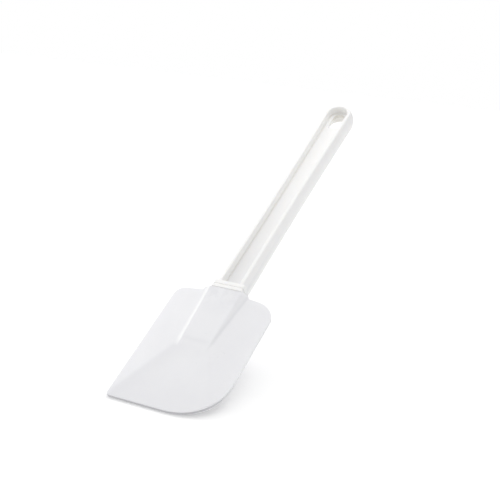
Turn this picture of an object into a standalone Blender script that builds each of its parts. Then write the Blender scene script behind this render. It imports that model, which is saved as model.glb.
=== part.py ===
"""Long-handled bowl scraper: a stiff moulded handle and a flexible rubber blade.

The scraper lies flat, face up.  +Y runs along its length, from the blade's working edge to the
hanging end, +X is to the right and +Z comes out of the face.  The origin is in the middle of the
working edge's end face, on the handle's centre line.  Units are metres.

The blade is one moulding that bends below its socket.  It is made here as two solids, blade_body
and blade_lip, which meet in a half-round joint whose axis is the line the blade bends about.
"""
import math

import bmesh
import bpy
from mathutils import Matrix

MM = 0.001

# Handle
LENGTH = 345 * MM               # working edge to hanging end
HANDLE_HALF_THICKNESS = 8.1 * MM
HANDLE_END_RADIUS = 12.8 * MM   # half-round end, and half the handle's width there
WAIST_HALF_WIDTH = 11.35 * MM
NECK_HALF_WIDTH = 11.6 * MM
WAIST_Y = 200 * MM
SIDE_BULGE = 1.1 * MM           # how far the sides stand out at half the handle's thickness
HANDLE_EDGE_RADIUS = 2 * MM
RIM_WIDTH = 3.2 * MM            # on the face, where the bulge has run out
RECESS_DEPTH = 6.4 * MM
RECESS_CORNER_RADIUS = 1.2 * MM
HOLE_RADIUS = 4.6 * MM          # half-round end, and half the hole's width
HOLE_TOP_Y = 338.3 * MM
HOLE_BOTTOM_Y = 318.6 * MM      # flat end
HOLE_CORNER_RADIUS = 0.8 * MM

# Collar: two rings with a groove between them
COLLAR_HALF_WIDTH = 12.3 * MM
COLLAR_HALF_THICKNESS = 8.5 * MM
COLLAR_CORNER_RADIUS = 2.2 * MM
COLLAR_EDGE = 0.5 * MM
GROOVE_DEPTH = 0.8 * MM
GROOVE_WIDTH = 0.8 * MM
LOWER_RING_LENGTH = 2.5 * MM
UPPER_RING_LENGTH = 3.6 * MM

# Blade outline
BLADE_HALF_WIDTH = 41 * MM
WING_TOP_Y = 107 * MM
TOP_LEFT_RADIUS = 7 * MM
TOP_RIGHT_RADIUS = 14 * MM
LOW_LEFT_RADIUS = 2.5 * MM
SWEEP_WIDTH = 38 * MM           # the large rounded corner at the low right
SWEEP_HEIGHT = 34 * MM
SWEEP_POWER = 2.2               # 2 is an ellipse; more is squarer

# Blade thickness, each measured from the middle plane
EDGE_HALF_THICKNESS = 1.1 * MM
LIP_SLOPE = 0.068               # rise per length from the working edge
WING_SLOPE_LOW = 0.129          # rise per width from the side edges, below the wedge
WING_SLOPE_TOP = 0.172          # and at the top of the wings
WING_TWIST_START_Y = 50 * MM

# Wedge: the thick socket that holds the handle's tongue
SOCKET_TOP_Y = 109.3 * MM
WEDGE_TOP_HEIGHT = 8.0 * MM
CREASE_Y = 61.5 * MM
CREASE_HEIGHT = 5.9 * MM
WEDGE_END_Y = 53 * MM
WEDGE_TOP_HALF_WIDTH = 13.3 * MM
WEDGE_END_HALF_WIDTH = 11.6 * MM
WEDGE_WALL_SLOPE = 0.65

# Tongue and its pocket
TONGUE_END_Y = 64 * MM
TONGUE_ROOT_HALF_WIDTH = 9.0 * MM
TONGUE_END_HALF_WIDTH = 7.5 * MM
TONGUE_ROOT_HALF_THICKNESS = 4.6 * MM
TONGUE_END_HALF_THICKNESS = 2.4 * MM
WINDOW_RADIUS = 3.0 * MM
WINDOW_PLACES = (74 * MM, 86 * MM, 98 * MM)
GAP = 0.3 * MM                  # clearance between neighbouring solids
POCKET_OVERRUN = 8 * MM         # how far the tool that cuts the pocket stands out of its mouth

# Bending joint
BEND_Y = 45 * MM

END_ARC_STEPS = 24
SIDE_STEPS = 14
CORNER_STEPS = 5
ROUND_STEPS = 24
BEND_ARC_STEPS = 12
BULGE_STEPS = 2
EDGE_STEPS = 3
SWEEP_ROWS = 12
LOW_CORNER_ROWS = 4
TOP_CORNER_ROWS = 7
WEDGE_COLUMNS = 3               # columns from the blade's middle to the foot of the wedge's wall
WING_SHARES = (0.15, 0.3, 0.45, 0.6, 0.75, 0.9, 1.0)
SEARCH_STEPS = 40
SMOOTH_ANGLE = math.radians(32)

HANDLE_END_Y = LENGTH - HANDLE_END_RADIUS
LOWER_RING_Y = SOCKET_TOP_Y + GAP
GROOVE_Y = LOWER_RING_Y + LOWER_RING_LENGTH
UPPER_RING_Y = GROOVE_Y + GROOVE_WIDTH
COLLAR_END_Y = UPPER_RING_Y + UPPER_RING_LENGTH


# ---------------------------------------------------------------- general helpers

def clear_scene():
    for item in list(bpy.data.objects):
        bpy.data.objects.remove(item, do_unlink=True)


def make_material(name, colour, roughness):
    material = bpy.data.materials.new(name)
    material.use_nodes = True
    shader = material.node_tree.nodes["Principled BSDF"]
    shader.inputs["Base Color"].default_value = (*colour, 1.0)
    shader.inputs["Roughness"].default_value = roughness
    shader.inputs["Metallic"].default_value = 0.0
    return material


def add_object(name, points, faces, material=None):
    """A closed mesh object, with its faces turned outwards."""
    mesh = bpy.data.meshes.new(name)
    mesh.from_pydata(points, [], faces)
    shape = bmesh.new()
    shape.from_mesh(mesh)
    bmesh.ops.recalc_face_normals(shape, faces=shape.faces)
    shape.to_mesh(mesh)
    shape.free()
    item = bpy.data.objects.new(name, mesh)
    bpy.context.scene.collection.objects.link(item)
    if material is not None:
        mesh.materials.append(material)
        mesh.shade_smooth()
        mesh.set_sharp_from_angle(angle=SMOOTH_ANGLE)
    return item


def add_loft(name, sections, material=None):
    """A solid skinned over closed sections that all have the same number of points."""
    count = len(sections[0])
    points = [point for section in sections for point in section]
    faces = [list(range(count))]
    faces.append([(len(sections) - 1) * count + index for index in range(count)])
    for row in range(len(sections) - 1):
        for index in range(count):
            after = (index + 1) % count
            low = row * count
            high = low + count
            faces.append([low + index, low + after, high + after, high + index])
    return add_object(name, points, faces, material)


def add_prism(name, outline, low_z, high_z, material=None):
    """An outline in the XY plane, drawn out along Z."""
    sections = [[(x, y, z) for x, y in outline] for z in (low_z, high_z)]
    return add_loft(name, sections, material)


def add_cylinder(name, radius, y, half_height):
    outline = []
    for step in range(ROUND_STEPS):
        angle = 2 * math.pi * step / ROUND_STEPS
        outline.append((radius * math.cos(angle), y + radius * math.sin(angle)))
    return add_prism(name, outline, -half_height, half_height)


def combine(target, tool, operation):
    """Cut a tool from a solid, or join it on."""
    tool.hide_render = True
    tool.display_type = "WIRE"
    modifier = target.modifiers.new(operation.lower() + "_" + tool.name, "BOOLEAN")
    modifier.operation = operation
    modifier.solver = "EXACT"
    modifier.object = tool


def blend_value(start, end, share):
    return start + (end - start) * min(max(share, 0.0), 1.0)


def corner_arc(centre_x, centre_y, radius, start_degrees, steps=CORNER_STEPS):
    """Points of a quarter circle, run anticlockwise."""
    points = []
    for step in range(steps + 1):
        angle = math.radians(start_degrees + 90 * step / steps)
        points.append((centre_x + radius * math.cos(angle), centre_y + radius * math.sin(angle)))
    return points


# ---------------------------------------------------------------- handle

def handle_half_width(y):
    """Slightly waisted: narrowest at WAIST_Y and fuller towards both ends."""
    if y < WAIST_Y:
        share = (WAIST_Y - y) / (WAIST_Y - COLLAR_END_Y)
        return WAIST_HALF_WIDTH + (NECK_HALF_WIDTH - WAIST_HALF_WIDTH) * share ** 2
    share = (y - WAIST_Y) / (HANDLE_END_Y - WAIST_Y)
    return WAIST_HALF_WIDTH + (HANDLE_END_RADIUS - WAIST_HALF_WIDTH) * share ** 1.5


def long_outline(start_y, inset, corner_radius):
    """The handle's outline set in by a distance: up the right, round the end, down the left."""
    right = []
    for step in range(SIDE_STEPS):
        y = start_y + corner_radius + (HANDLE_END_Y - start_y - corner_radius) * step / SIDE_STEPS
        right.append((handle_half_width(y) - inset, y))
    left = [(-x, y) for x, y in reversed(right)]
    end = []
    radius = HANDLE_END_RADIUS - inset
    for step in range(END_ARC_STEPS + 1):
        angle = math.pi * step / END_ARC_STEPS
        end.append((radius * math.cos(angle), HANDLE_END_Y + radius * math.sin(angle)))
    if corner_radius == 0:
        return right + end + left
    reach = right[0][0] - corner_radius
    base_y = start_y + corner_radius
    low_left = corner_arc(-reach, base_y, corner_radius, 180)[1:]
    low_right = corner_arc(reach, base_y, corner_radius, 270)[:-1]
    return low_right + right + end + left + low_left


def hole_outline():
    """Half-round towards the hanging end, with straight sides and a flat end below."""
    centre_y = HOLE_TOP_Y - HOLE_RADIUS
    outline = []
    for step in range(END_ARC_STEPS + 1):
        angle = math.pi * step / END_ARC_STEPS
        outline.append((HOLE_RADIUS * math.cos(angle), centre_y + HOLE_RADIUS * math.sin(angle)))
    reach = HOLE_RADIUS - HOLE_CORNER_RADIUS
    base_y = HOLE_BOTTOM_Y + HOLE_CORNER_RADIUS
    outline += corner_arc(-reach, base_y, HOLE_CORNER_RADIUS, 180)
    outline += corner_arc(reach, base_y, HOLE_CORNER_RADIUS, 270)
    return outline


def collar_section(y, inset):
    """A rounded rectangle across the handle, set in from the collar's full size."""
    half_width = COLLAR_HALF_WIDTH - inset
    half_thickness = COLLAR_HALF_THICKNESS - inset
    across = half_width - COLLAR_CORNER_RADIUS
    deep = half_thickness - COLLAR_CORNER_RADIUS
    section = []
    for sign_x, sign_z, start in ((1, 1, 0), (-1, 1, 90), (-1, -1, 180), (1, -1, 270)):
        for x, z in corner_arc(sign_x * across, sign_z * deep, COLLAR_CORNER_RADIUS, start):
            section.append((x, y, z))
    return section


def make_collar():
    """Two rings with softened edges and a groove between them."""
    stations = (
        (LOWER_RING_Y, COLLAR_EDGE),
        (LOWER_RING_Y + COLLAR_EDGE, 0),
        (GROOVE_Y - COLLAR_EDGE, 0),
        (GROOVE_Y, GROOVE_DEPTH),
        (UPPER_RING_Y, GROOVE_DEPTH),
        (UPPER_RING_Y + COLLAR_EDGE, 0),
        (COLLAR_END_Y - COLLAR_EDGE, 0),
        (COLLAR_END_Y, COLLAR_EDGE),
    )
    return add_loft("collar", [collar_section(y, inset) for y, inset in stations])


def tongue_section(y, extra):
    """The tongue's rectangle at a place along it, grown by a clearance."""
    share = (y - TONGUE_END_Y) / (LOWER_RING_Y - TONGUE_END_Y)
    across = TONGUE_END_HALF_WIDTH + (TONGUE_ROOT_HALF_WIDTH - TONGUE_END_HALF_WIDTH) * share + extra
    deep = TONGUE_END_HALF_THICKNESS + extra
    deep += (TONGUE_ROOT_HALF_THICKNESS - TONGUE_END_HALF_THICKNESS) * share
    return [(across, y, deep), (-across, y, deep), (-across, y, -deep), (across, y, -deep)]


def make_tongue(name, start_y, end_y, extra, hole_radius):
    """The tongue with its windows, or the pocket it leaves in the rubber."""
    tongue = add_loft(name, [tongue_section(start_y, extra), tongue_section(end_y, extra)])
    for number, y in enumerate(WINDOW_PLACES, start=1):
        window = add_cylinder(f"{name}_window_{number}", hole_radius, y, HANDLE_HALF_THICKNESS)
        combine(tongue, window, "DIFFERENCE")
    return tongue


def side_profile():
    """(height, inset) up half of the handle's side: the bulge running out, then the rounded edge."""
    edge_z = HANDLE_HALF_THICKNESS - HANDLE_EDGE_RADIUS
    profile = []
    for step in range(1, BULGE_STEPS + 1):
        share = step / BULGE_STEPS
        profile.append((edge_z * share, SIDE_BULGE * share ** 2))
    for step in range(1, EDGE_STEPS + 1):
        angle = math.pi / 2 * step / EDGE_STEPS
        inset = SIDE_BULGE + HANDLE_EDGE_RADIUS * (1 - math.cos(angle))
        profile.append((edge_z + HANDLE_EDGE_RADIUS * math.sin(angle), inset))
    return profile


def make_grip(material):
    """The handle's solid shape above the collar, before it is hollowed."""
    front = side_profile()
    back = [(-z, inset) for z, inset in reversed(front)]
    sections = []
    for z, inset in back + [(0, 0)] + front:
        outline = long_outline(UPPER_RING_Y + COLLAR_EDGE, inset, 0)
        sections.append([(x, y, z) for x, y in outline])
    return add_loft("handle", sections, material)


def make_handle(material):
    handle = make_grip(material)
    recess = long_outline(COLLAR_END_Y - COLLAR_EDGE, SIDE_BULGE + RIM_WIDTH, RECESS_CORNER_RADIUS)
    floor = HANDLE_HALF_THICKNESS - RECESS_DEPTH
    beyond = HANDLE_HALF_THICKNESS + RECESS_DEPTH
    combine(handle, add_prism("front_recess", recess, floor, beyond), "DIFFERENCE")
    combine(handle, add_prism("back_recess", recess, -beyond, -floor), "DIFFERENCE")
    combine(handle, add_prism("hanging_hole", hole_outline(), -beyond, beyond), "DIFFERENCE")
    combine(handle, make_collar(), "UNION")
    tongue = make_tongue("tongue", TONGUE_END_Y, GROOVE_Y, 0, WINDOW_RADIUS)
    combine(handle, tongue, "UNION")
    return handle


# ---------------------------------------------------------------- blade

def right_edge(y):
    """How far the blade reaches to the right at a height above its working edge."""
    if y < SWEEP_HEIGHT:
        drop = (SWEEP_HEIGHT - y) / SWEEP_HEIGHT
        share = max(1 - drop ** SWEEP_POWER, 0.0) ** (1 / SWEEP_POWER)
        return BLADE_HALF_WIDTH - SWEEP_WIDTH + SWEEP_WIDTH * share
    return BLADE_HALF_WIDTH - rounding(TOP_RIGHT_RADIUS, WING_TOP_Y - y)


def left_edge(y):
    """How far the blade reaches to the left."""
    low = rounding(LOW_LEFT_RADIUS, y)
    top = rounding(TOP_LEFT_RADIUS, WING_TOP_Y - y)
    return BLADE_HALF_WIDTH - low - top


def rounding(radius, distance):
    """How far a rounded corner stands in from its side, at a distance from the corner's end."""
    if distance >= radius:
        return 0.0
    return radius - math.sqrt(max(radius ** 2 - (radius - distance) ** 2, 0.0))


def wedge_half_width(y):
    share = (y - WEDGE_END_Y) / (SOCKET_TOP_Y - WEDGE_END_Y)
    return blend_value(WEDGE_END_HALF_WIDTH, WEDGE_TOP_HALF_WIDTH, share)


def wedge_height(y):
    """Half thickness on the wedge's face: a long gentle slope, then a steeper one below the crease."""
    upper = (WEDGE_TOP_HEIGHT - CREASE_HEIGHT) / (SOCKET_TOP_Y - CREASE_Y)
    end_height = EDGE_HALF_THICKNESS + LIP_SLOPE * WEDGE_END_Y
    lower = (CREASE_HEIGHT - end_height) / (CREASE_Y - WEDGE_END_Y)
    if y > CREASE_Y:
        return CREASE_HEIGHT + upper * (y - CREASE_Y)
    return CREASE_HEIGHT + lower * (y - CREASE_Y)


def wing_height(x, y):
    """Half thickness of the blade outside the wedge: sloping from the sides and from the lip."""
    share = (y - WING_TWIST_START_Y) / (WING_TOP_Y - WING_TWIST_START_Y)
    slope = blend_value(WING_SLOPE_LOW, WING_SLOPE_TOP, share)
    from_side = slope * (BLADE_HALF_WIDTH - abs(x))
    from_lip = LIP_SLOPE * y
    return EDGE_HALF_THICKNESS + min(from_side, from_lip)


def half_thickness(x, y):
    outside = max(abs(x) - wedge_half_width(y), 0.0)
    wedge = wedge_height(y) - WEDGE_WALL_SLOPE * outside
    return max(wedge, wing_height(x, y))


def wedge_foot(y):
    """Where the wedge's side wall runs out into the wing."""
    near = wedge_half_width(y)
    far = BLADE_HALF_WIDTH
    for _ in range(SEARCH_STEPS):
        middle = (near + far) / 2
        wall = wedge_height(y) - WEDGE_WALL_SLOPE * (middle - wedge_half_width(y))
        if wall > wing_height(middle, y):
            near = middle
        else:
            far = middle
    return near


def side_places(y, reach):
    """Places across one side of the blade: the wedge's face, its wall and then the wing."""
    y_on_wedge = max(y, WEDGE_END_Y)
    face = wedge_half_width(y_on_wedge)
    foot = max(wedge_foot(y_on_wedge), face + EDGE_HALF_THICKNESS)
    if y < SWEEP_HEIGHT:
        full = [face / 2, face, foot] + wing_places(foot, BLADE_HALF_WIDTH)
        return [place * reach / BLADE_HALF_WIDTH for place in full]
    return [face / 2, face, foot] + wing_places(foot, reach)


def wing_places(start, end):
    return [start + (end - start) * share for share in WING_SHARES]


def blade_row(y):
    left = [-place for place in reversed(side_places(y, left_edge(y)))]
    return left + [0.0] + side_places(y, right_edge(y))


def low_rows():
    """Heights of the lip's rows, close together where the low corners turn."""
    rows = [SWEEP_HEIGHT, (SWEEP_HEIGHT + BEND_Y) / 2, BEND_Y]
    for step in range(SWEEP_ROWS):
        rows.append(SWEEP_HEIGHT * (1 - math.cos(math.pi / 2 * step / SWEEP_ROWS) ** (2 / SWEEP_POWER)))
    for step in range(1, LOW_CORNER_ROWS + 1):
        rows.append(LOW_LEFT_RADIUS * (1 - math.cos(math.pi / 2 * step / LOW_CORNER_ROWS)))
    return sorted(rows)


def body_rows():
    """Heights of the body's rows, from the wedge's end to the top of the wings."""
    straight_end = WING_TOP_Y - TOP_RIGHT_RADIUS
    rows = [WEDGE_END_Y, CREASE_Y, (CREASE_Y + straight_end) / 2]
    for radius in (TOP_RIGHT_RADIUS, TOP_LEFT_RADIUS):
        for step in range(1, TOP_CORNER_ROWS + 1):
            rows.append(WING_TOP_Y - radius * (1 - math.cos(math.pi / 2 * step / TOP_CORNER_ROWS)))
    return sorted(rows) + [WING_TOP_Y]


def surface_line(y, side):
    """Points across the blade from left to right; side is 1 for the front and -1 for the back."""
    return [(x, y, side * half_thickness(x, y)) for x in blade_row(y)]


def bend_line(extra, angle):
    """One line of the half-round joint, at an angle round from the front."""
    line = []
    for x in blade_row(BEND_Y):
        radius = half_thickness(x, BEND_Y) + extra
        line.append((x, BEND_Y + radius * math.sin(angle), radius * math.cos(angle)))
    return line


def hollow_line(share):
    """One line of the hollow round the joint; share runs from 0 at the back to 1 at the front."""
    line = []
    for x in blade_row(BEND_Y):
        radius = half_thickness(x, BEND_Y) + GAP
        lip_angle = hollow_edge_angle(x, radius)
        angle = math.pi - lip_angle - (math.pi - 2 * lip_angle) * share
        line.append((x, BEND_Y + radius * math.sin(angle), radius * math.cos(angle)))
    return line


def hollow_edge_angle(x, radius):
    """The angle at which the hollow runs out through the blade's sloping face."""
    angle = 0.0
    for _ in range(SEARCH_STEPS):
        height = half_thickness(x, BEND_Y + radius * math.sin(angle))
        angle = math.acos(min(height / radius, 1.0))
    return angle


def strip_faces(low, high, first, last):
    """Faces between two lines of points, from one column to another."""
    faces = []
    for column in range(first, last):
        faces.append([low[column], low[column + 1], high[column + 1], high[column]])
    return faces


class Shell:
    """Points and faces of a solid built from lines that cross the blade."""

    def __init__(self):
        self.points = []
        self.faces = []

    def add_line(self, line):
        start = len(self.points)
        self.points.extend(line)
        return list(range(start, start + len(line)))

    def add_strips(self, lines, first, last):
        for low, high in zip(lines, lines[1:]):
            self.faces += strip_faces(low, high, first, last)


def make_blade_lip(material):
    """Everything below the bend, with a half-round upper end.  Its origin is on the bend's axis."""
    fronts = [surface_line(y, 1) for y in low_rows()]
    steps = range(1, BEND_ARC_STEPS)
    arcs = [bend_line(0, math.pi * step / BEND_ARC_STEPS) for step in steps]
    backs = [surface_line(y, -1) for y in reversed(low_rows())]
    shell = Shell()
    ring = [shell.add_line(line) for line in fronts + arcs + backs]
    last = len(ring[0]) - 1
    shell.add_strips(ring + ring[:1], 0, last)
    shell.faces.append([line[0] for line in ring])
    shell.faces.append([line[last] for line in ring])
    lip = add_object("blade_lip", shell.points, shell.faces, material)
    lip.data.transform(Matrix.Translation((0, -BEND_Y, 0)))
    lip.location = (0, BEND_Y, 0)
    return lip


def make_blade_body(material):
    """The wings and the wedge, hollowed for the tongue and round the bend's half-round joint."""
    shell = Shell()
    arcs = [shell.add_line(hollow_line(step / BEND_ARC_STEPS)) for step in range(BEND_ARC_STEPS + 1)]
    fronts = [shell.add_line(surface_line(y, 1)) for y in body_rows()]
    backs = [shell.add_line(surface_line(y, -1)) for y in reversed(body_rows())]
    last = len(arcs[0]) - 1
    shell.add_strips(arcs + fronts, 0, last)
    shell.add_strips(backs + arcs[:1], 0, last)
    shell.faces.append([line[0] for line in arcs + fronts + backs])
    shell.faces.append([line[last] for line in arcs + fronts + backs])

    # The wings stop at their top edge, and the wedge goes on to the socket's mouth.
    left_foot = last // 2 - WEDGE_COLUMNS
    right_foot = last // 2 + WEDGE_COLUMNS
    mouth_front = shell.add_line(mouth_line(1))
    mouth_back = shell.add_line(mouth_line(-1))
    wing_front = fronts[-1]
    wing_back = backs[0]
    socket_front = wing_front[left_foot:right_foot + 1]
    socket_back = wing_back[left_foot:right_foot + 1]
    width = right_foot - left_foot
    shell.faces += strip_faces(wing_front, wing_back, 0, left_foot)
    shell.faces += strip_faces(wing_front, wing_back, right_foot, last)
    shell.add_strips([socket_front, mouth_front, mouth_back, socket_back], 0, width)
    for column in (0, width):
        shell.faces.append([line[column] for line in (socket_front, mouth_front, mouth_back, socket_back)])

    body = add_object("blade_body", shell.points, shell.faces, material)
    past_mouth = SOCKET_TOP_Y + POCKET_OVERRUN
    pocket = make_tongue("pocket", TONGUE_END_Y - GAP, past_mouth, GAP, WINDOW_RADIUS - GAP)
    combine(body, pocket, "DIFFERENCE")
    return body


def mouth_line(side):
    """The wedge's section at the socket's mouth."""
    face = wedge_half_width(SOCKET_TOP_Y)
    foot = wedge_foot(SOCKET_TOP_Y)
    places = [-foot, -face, -face / 2, 0, face / 2, face, foot]
    return [(x, SOCKET_TOP_Y, side * half_thickness(x, SOCKET_TOP_Y)) for x in places]


def main():
    clear_scene()
    handle_plastic = make_material("handle_plastic", (0.86, 0.85, 0.81), 0.38)
    blade_rubber = make_material("blade_rubber", (0.80, 0.81, 0.84), 0.5)
    handle = make_handle(handle_plastic)
    body = make_blade_body(blade_rubber)
    lip = make_blade_lip(blade_rubber)
    body.parent = handle
    lip.parent = body


main()
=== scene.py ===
"""Looks of the long-handled bowl scraper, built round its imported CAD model.  Units are metres.

The scraper lies along +Y with its working edge at y = 0 and its face towards +Z.  Two fine meshes,
the handle's moulding and the blade's moulding, stand for the CAD solids.
"""
import math

import bmesh
import bpy
import numpy as np
from mathutils import Matrix, Vector
from mathutils.geometry import delaunay_2d_cdt


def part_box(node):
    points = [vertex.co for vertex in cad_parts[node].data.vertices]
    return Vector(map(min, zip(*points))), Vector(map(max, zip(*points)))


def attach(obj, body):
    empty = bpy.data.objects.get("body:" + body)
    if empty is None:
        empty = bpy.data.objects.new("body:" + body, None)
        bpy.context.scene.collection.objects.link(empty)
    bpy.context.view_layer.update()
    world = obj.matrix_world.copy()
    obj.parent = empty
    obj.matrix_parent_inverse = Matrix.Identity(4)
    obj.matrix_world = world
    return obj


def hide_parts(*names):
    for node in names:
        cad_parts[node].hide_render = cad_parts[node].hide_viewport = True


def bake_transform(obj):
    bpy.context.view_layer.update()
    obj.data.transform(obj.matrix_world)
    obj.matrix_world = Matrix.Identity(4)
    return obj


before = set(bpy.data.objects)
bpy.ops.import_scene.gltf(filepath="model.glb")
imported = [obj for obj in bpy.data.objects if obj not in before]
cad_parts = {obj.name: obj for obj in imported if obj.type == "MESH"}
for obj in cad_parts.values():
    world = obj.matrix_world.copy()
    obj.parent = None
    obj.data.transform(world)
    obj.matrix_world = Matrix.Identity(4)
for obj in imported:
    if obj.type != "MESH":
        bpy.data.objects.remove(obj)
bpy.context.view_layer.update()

MM = 0.001

# Places read from the CAD frame
HANDLE_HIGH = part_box("handle")[1]
BODY_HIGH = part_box("blade_body")[1]
LIP_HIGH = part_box("blade_lip")[1]
LENGTH = HANDLE_HIGH.y
COLLAR_HALF_WIDTH = HANDLE_HIGH.x
COLLAR_HALF_THICKNESS = HANDLE_HIGH.z
SOCKET_TOP_Y = BODY_HIGH.y
BLADE_HALF_WIDTH = LIP_HIGH.x
WEDGE_TOP_HEIGHT = BODY_HIGH.z

# Handle
HALF_THICKNESS = 8.1 * MM
END_RADIUS = 12.8 * MM
END_Y = LENGTH - END_RADIUS
WAIST_Y = 200 * MM
WAIST_HALF_WIDTH = 11.35 * MM
NECK_HALF_WIDTH = 11.6 * MM
NECK_POWER = 2
END_POWER = 1.5
SIDE_BULGE = 1.1 * MM
RIM_WIDTH = 3.2 * MM
RECESS_DEPTH = 6.4 * MM
RECESS_FLOOR_Z = HALF_THICKNESS - RECESS_DEPTH
RECESS_CORNER_RADIUS = 1.6 * MM
OUTER_EDGE_RADIUS = 2 * MM
INNER_EDGE_RADIUS = 0.7 * MM
RECESS_FLOOR_FILLET = 0.4 * MM
WALL_DRAFT = 0.15 * MM
RIM_CROWN = 0.12 * MM
HOLE_RADIUS = 4.6 * MM
HOLE_TOP_Y = 338.3 * MM
HOLE_BOTTOM_Y = 318.6 * MM
HOLE_CORNER_RADIUS = 0.9 * MM
HOLE_EDGE_RADIUS = 0.35 * MM
# A narrow flat kept beside each fillet, so that its shading doesn't spread over the flat
FLAT_GUARD = 0.15 * MM
# The grip starts this far above the foot of the collar's upper ring, which hides its lower end
GRIP_ROOT_LIFT = 0.2 * MM
GRIP_ROOT_CORNER = 0.8 * MM

# Collar, from the blade upwards: a thin dark line above the rubber, a ring, a groove and a wider ring
RUBBER_LINE = 0.1 * MM
LOWER_RING_Y = SOCKET_TOP_Y + RUBBER_LINE
LOWER_RING_LENGTH = 2.7 * MM
GROOVE_WIDTH = 0.6 * MM
UPPER_RING_LENGTH = 3.6 * MM
GROOVE_DEPTH = 0.5 * MM
COLLAR_CORNER_RADIUS = 2.2 * MM
RING_EDGE_RADIUS = 0.4 * MM
COLLAR_CAP_INSET = 1.0 * MM
GROOVE_Y = LOWER_RING_Y + LOWER_RING_LENGTH
UPPER_RING_Y = GROOVE_Y + GROOVE_WIDTH
COLLAR_END_Y = UPPER_RING_Y + UPPER_RING_LENGTH

# Blade
WING_TOP_Y = 107 * MM
TOP_LEFT_RADIUS = 7 * MM
TOP_RIGHT_RADIUS = 14 * MM
LOW_LEFT_RADIUS = 2.5 * MM
SWEEP_WIDTH = 38 * MM
SWEEP_HEIGHT = 34 * MM
SWEEP_POWER = 2.2
EDGE_HALF_THICKNESS = 1.1 * MM
LIP_SLOPE = 0.068
WING_SLOPE_LOW = 0.129
WING_SLOPE_TOP = 0.172
WING_TWIST_START_Y = 50 * MM
CREASE_Y = 61.5 * MM
CREASE_HEIGHT = 5.9 * MM
WEDGE_END_Y = 53 * MM
WEDGE_TOP_HALF_WIDTH = 13.3 * MM
WEDGE_END_HALF_WIDTH = 11.6 * MM
WEDGE_WALL_SLOPE = 0.65
RUBBER_EDGE_RADIUS = 0.45 * MM
MOUTH_CORNER_RADIUS = 1.3 * MM
MOUTH_FILLET = 0.7 * MM

# How softly the blade's surfaces run into each other: heights that blend within this of each other
CREASE_SOFTNESS = 0.25 * MM
HIP_SOFTNESS = 0.2 * MM
WEDGE_EDGE_SOFTNESS = 0.6 * MM
WEDGE_FOOT_SOFTNESS = 0.6 * MM

# Fineness of the meshes
PLASTIC_SHARP_DEGREES = 40
RUBBER_SHARP_DEGREES = 60
SIDE_STEPS = 150
END_STEPS = 56
CORNER_STEPS = 8
HOLE_END_STEPS = 36
OUTER_EDGE_STEPS = 7
INNER_EDGE_STEPS = 5
FILLET_STEPS = 6
HOLE_EDGE_STEPS = 4
RING_EDGE_STEPS = 5
RUBBER_EDGE_STEPS = 5
CROWN_SHARES = (0.2, 0.4, 0.6, 0.8)
BOTTOM_STEPS = 12
BULGE_STEPS = 6
SWEEP_STEPS = 160
LOW_LEFT_STEPS = 12
TOP_RIGHT_STEPS = 24
TOP_LEFT_STEPS = 16
MOUTH_FILLET_STEPS = 6
OUTLINE_SPACING = 0.6 * MM
SURFACE_SPACING = 0.75 * MM
FINE_SPACING = 0.4 * MM
# The fine points reach this far past the wedge's edges
FINE_REACH = 1.2 * MM
# The wedge's side wall is never taken as narrower than this
LEAST_WALL = 1 * MM
# Every other row of points is moved aside by this share of the spacing, which gives evener triangles
ROW_NUDGE = 0.25
# Points nearer the outline than this share of its spacing are dropped
CROWDED = 0.45
# A flat strip of the blade's face just inside its rounded edge
EDGE_STRIP = 0.4 * MM
# Halvings in the search for the wedge's foot
FOOT_HALVINGS = 40
# Settings of delaunay_2d_cdt: which triangles it gives, and how near two points are the same
INSIDE_ONLY = 1
SAME_PLACE = 1e-9

# Colours, as linear light
PLASTIC_LIGHT = (0.95, 0.947, 0.94)
PLASTIC_DARK = (0.935, 0.932, 0.924)
# Painted shade on the handle's outer sides and on the recesses' floors
PLASTIC_SHADE = (0.82, 0.82, 0.825)
# Painted shade in the handle's hollows, the recesses' ends and the hanging hole
PLASTIC_PAINTED_SHADE = (0.68, 0.655, 0.60)
RUBBER_LIGHT = (0.855, 0.856, 0.872)
RUBBER_DARK = (0.832, 0.832, 0.852)
# Grey of the smudges, and painted shade near the working edge and in the creases
RUBBER_SMUDGE_AND_SHADE = (0.765, 0.765, 0.79)
# Painted highlight on the wedge's left edge
RUBBER_HIGHLIGHT = (0.975, 0.975, 0.98)
# Painted shade and shadow on the working edge's thin face
RUBBER_EDGE_SHADE = (0.5, 0.5, 0.52)
RUBBER_SPECK = (0.74, 0.74, 0.76)
TABLE_COLOUR = (0.97, 0.97, 0.97)

# Painted shade on the plastic, in its hollows, on its outer sides and on the recesses' floors; each
# strength is the largest share of the darker tone
HOLLOW_SHADE = 0.7
HOLLOW_REACH = 2.2 * MM
END_SHADE = 0.6
HOLE_SHADE = 0.75
FLOOR_SHADE = 0.9
FLOOR_SHADE_END_Y = 240 * MM
SIDE_SHADE = 0.5

# Painted shade and a painted highlight on the rubber, and its smudges and specks
LIP_SHADE = 0.45
LIP_SHADE_END_Y = 30 * MM
SMUDGE = 0.55
FOOT_SHADE = 0.8
FOOT_REACH = 1.6 * MM
HIP_SHADE = 0.5
HIP_FADE_ABOVE = 0.5 * MM
HIP_FADE_BELOW = 2.3 * MM
RIGHT_HIP_SHARE = 0.2
BEND_SHADE = 0.35
BEND_REACH = 3 * MM
HIGHLIGHT_WIDTH = 3.5 * MM
EDGE_SHADE = 0.9
EDGE_SHADE_END_Y = 40 * MM
SPECKS = 0.45

# Camera, fitted to the outline in the photo: metres, degrees, and millimetres for the lens
CAMERA_PLACE = (0.3112, -0.3197, 0.5078)
CAMERA_AZIMUTH = 33.467
CAMERA_ELEVATION = 41.489
CAMERA_ROLL = -12.543
CAMERA_LENS = 72.0
CAMERA_NEAR = 0.01
CAMERA_FAR = 20

# Studio: the table slopes away under the handle by this many degrees, and glows like overexposed white
TABLE_TILT = 21.2
TABLE_HALF_SIZE = 0.85
TABLE_GAP = 0.4 * MM
TABLE_GLOW = 0.11
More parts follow.
